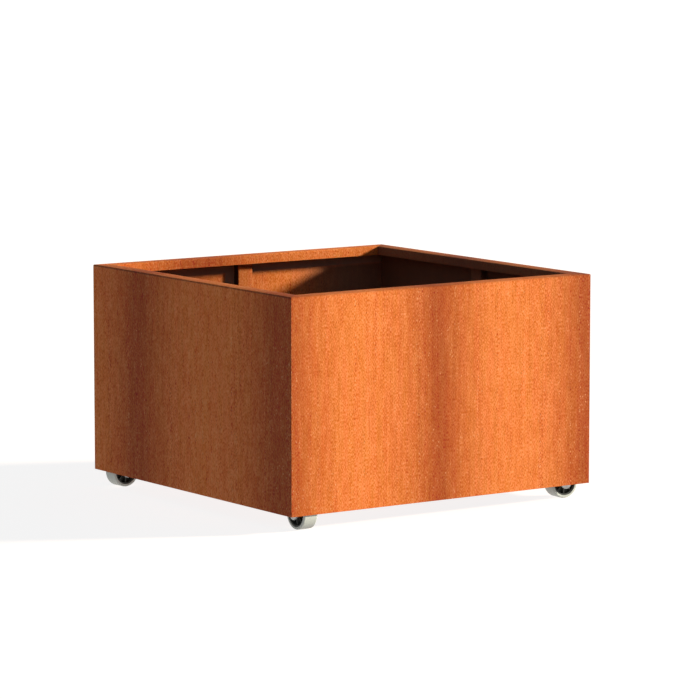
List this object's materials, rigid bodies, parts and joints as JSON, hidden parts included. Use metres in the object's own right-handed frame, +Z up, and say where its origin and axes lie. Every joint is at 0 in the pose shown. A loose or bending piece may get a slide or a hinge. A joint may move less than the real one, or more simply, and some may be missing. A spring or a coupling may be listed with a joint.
{
  "type": "rolling planter",
  "caption": "Open square planter box of folded weathering steel with an inward rim, on swivel casters set in under its corners.",
  "frame": {"origin": "on the ground, under the centre of the box", "axes": "+Z up, +X towards the right panel, +Y towards the back panel; the front panel is the bright one in the picture"},
  "size_m": [1, 1, 0.629],
  "materials": {
    "corten_panels": "matt rust patina on weathering steel, with a fine vertical streak",
    "corten_inside": "matt rust patina on weathering steel",
    "zinc_plated_steel": "satin zinc plating",
    "bright_steel": "smooth turned steel",
    "white_bush_plastic": "smooth",
    "black_core_plastic": "matt moulded",
    "grey_tyre": "smooth light grey rubber"
  },
  "bodies": {
    "planter_box": {"front_panel": "corten_panels", "right_panel": "corten_panels", "back_panel": "corten_panels", "left_panel": "corten_panels", "front_stiffener": "corten_inside", "right_stiffener": "corten_inside", "back_stiffener": "corten_inside", "left_stiffener": "corten_inside", "floor_plate": "corten_inside", "floor_bearer_front": "corten_inside", "floor_bearer_middle": "corten_inside", "floor_bearer_back": "corten_inside", "corner_plate_front_left": "corten_inside", "corner_plate_front_right": "corten_inside", "corner_plate_back_right": "corten_inside", "corner_plate_back_left": "corten_inside", "mounting_screws": "zinc_plated_steel", "mounting_washers": "zinc_plated_steel", "caster_plate_front_left": "zinc_plated_steel", "kingpin_front_left": "bright_steel", "caster_plate_front_right": "zinc_plated_steel", "kingpin_front_right": "bright_steel", "caster_plate_back_right": "zinc_plated_steel", "kingpin_back_right": "bright_steel", "caster_plate_back_left": "zinc_plated_steel", "kingpin_back_left": "bright_steel"},
    "swivel_front_left": {"fork_front_left": "zinc_plated_steel", "swivel_balls_front_left": "bright_steel", "axle_bolt_front_left": "zinc_plated_steel", "axle_nut_front_left": "zinc_plated_steel", "axle_sleeve_front_left": "bright_steel"},
    "wheel_front_left": {"wheel_bush_front_left": "white_bush_plastic", "wheel_core_front_left": "black_core_plastic", "tyre_front_left": "grey_tyre"},
    "swivel_front_right": {"fork_front_right": "zinc_plated_steel", "swivel_balls_front_right": "bright_steel", "axle_bolt_front_right": "zinc_plated_steel", "axle_nut_front_right": "zinc_plated_steel", "axle_sleeve_front_right": "bright_steel"},
    "wheel_front_right": {"wheel_bush_front_right": "white_bush_plastic", "wheel_core_front_right": "black_core_plastic", "tyre_front_right": "grey_tyre"},
    "swivel_back_right": {"fork_back_right": "zinc_plated_steel", "swivel_balls_back_right": "bright_steel", "axle_bolt_back_right": "zinc_plated_steel", "axle_nut_back_right": "zinc_plated_steel", "axle_sleeve_back_right": "bright_steel"},
    "wheel_back_right": {"wheel_bush_back_right": "white_bush_plastic", "wheel_core_back_right": "black_core_plastic", "tyre_back_right": "grey_tyre"},
    "swivel_back_left": {"fork_back_left": "zinc_plated_steel", "swivel_balls_back_left": "bright_steel", "axle_bolt_back_left": "zinc_plated_steel", "axle_nut_back_left": "zinc_plated_steel", "axle_sleeve_back_left": "bright_steel"},
    "wheel_back_left": {"wheel_bush_back_left": "white_bush_plastic", "wheel_core_back_left": "black_core_plastic", "tyre_back_left": "grey_tyre"}
  },
  "joints": [
    {"name": "front_left_swivel", "type": "hinge", "parent": "planter_box", "child": "swivel_front_left", "pos_m": [-0.433, -0.433, 0.1025], "axis": [0, 0, 1], "continuous": true},
    {"name": "front_left_roll", "type": "hinge", "parent": "swivel_front_left", "child": "wheel_front_left", "pos_m": [-0.433, -0.451, 0.043], "axis": [1, 0, 0], "continuous": true},
    {"name": "front_right_swivel", "type": "hinge", "parent": "planter_box", "child": "swivel_front_right", "pos_m": [0.433, -0.433, 0.1025], "axis": [0, 0, 1], "continuous": true},
    {"name": "front_right_roll", "type": "hinge", "parent": "swivel_front_right", "child": "wheel_front_right", "pos_m": [0.45098, -0.43394, 0.043], "axis": [0.0523, 0.9986, 0], "continuous": true},
    {"name": "back_right_swivel", "type": "hinge", "parent": "planter_box", "child": "swivel_back_right", "pos_m": [0.433, 0.433, 0.1025], "axis": [0, 0, 1], "continuous": true},
    {"name": "back_right_roll", "type": "hinge", "parent": "swivel_back_right", "child": "wheel_back_right", "pos_m": [0.442, 0.44859, 0.043], "axis": [-0.866, 0.5, 0], "continuous": true},
    {"name": "back_left_swivel", "type": "hinge", "parent": "planter_box", "child": "swivel_back_left", "pos_m": [-0.433, 0.433, 0.1025], "axis": [0, 0, 1], "continuous": true},
    {"name": "back_left_roll", "type": "hinge", "parent": "swivel_back_left", "child": "wheel_back_left", "pos_m": [-0.45096, 0.43174, 0.043], "axis": [0.0698, -0.9976, 0], "continuous": true}
  ]
}
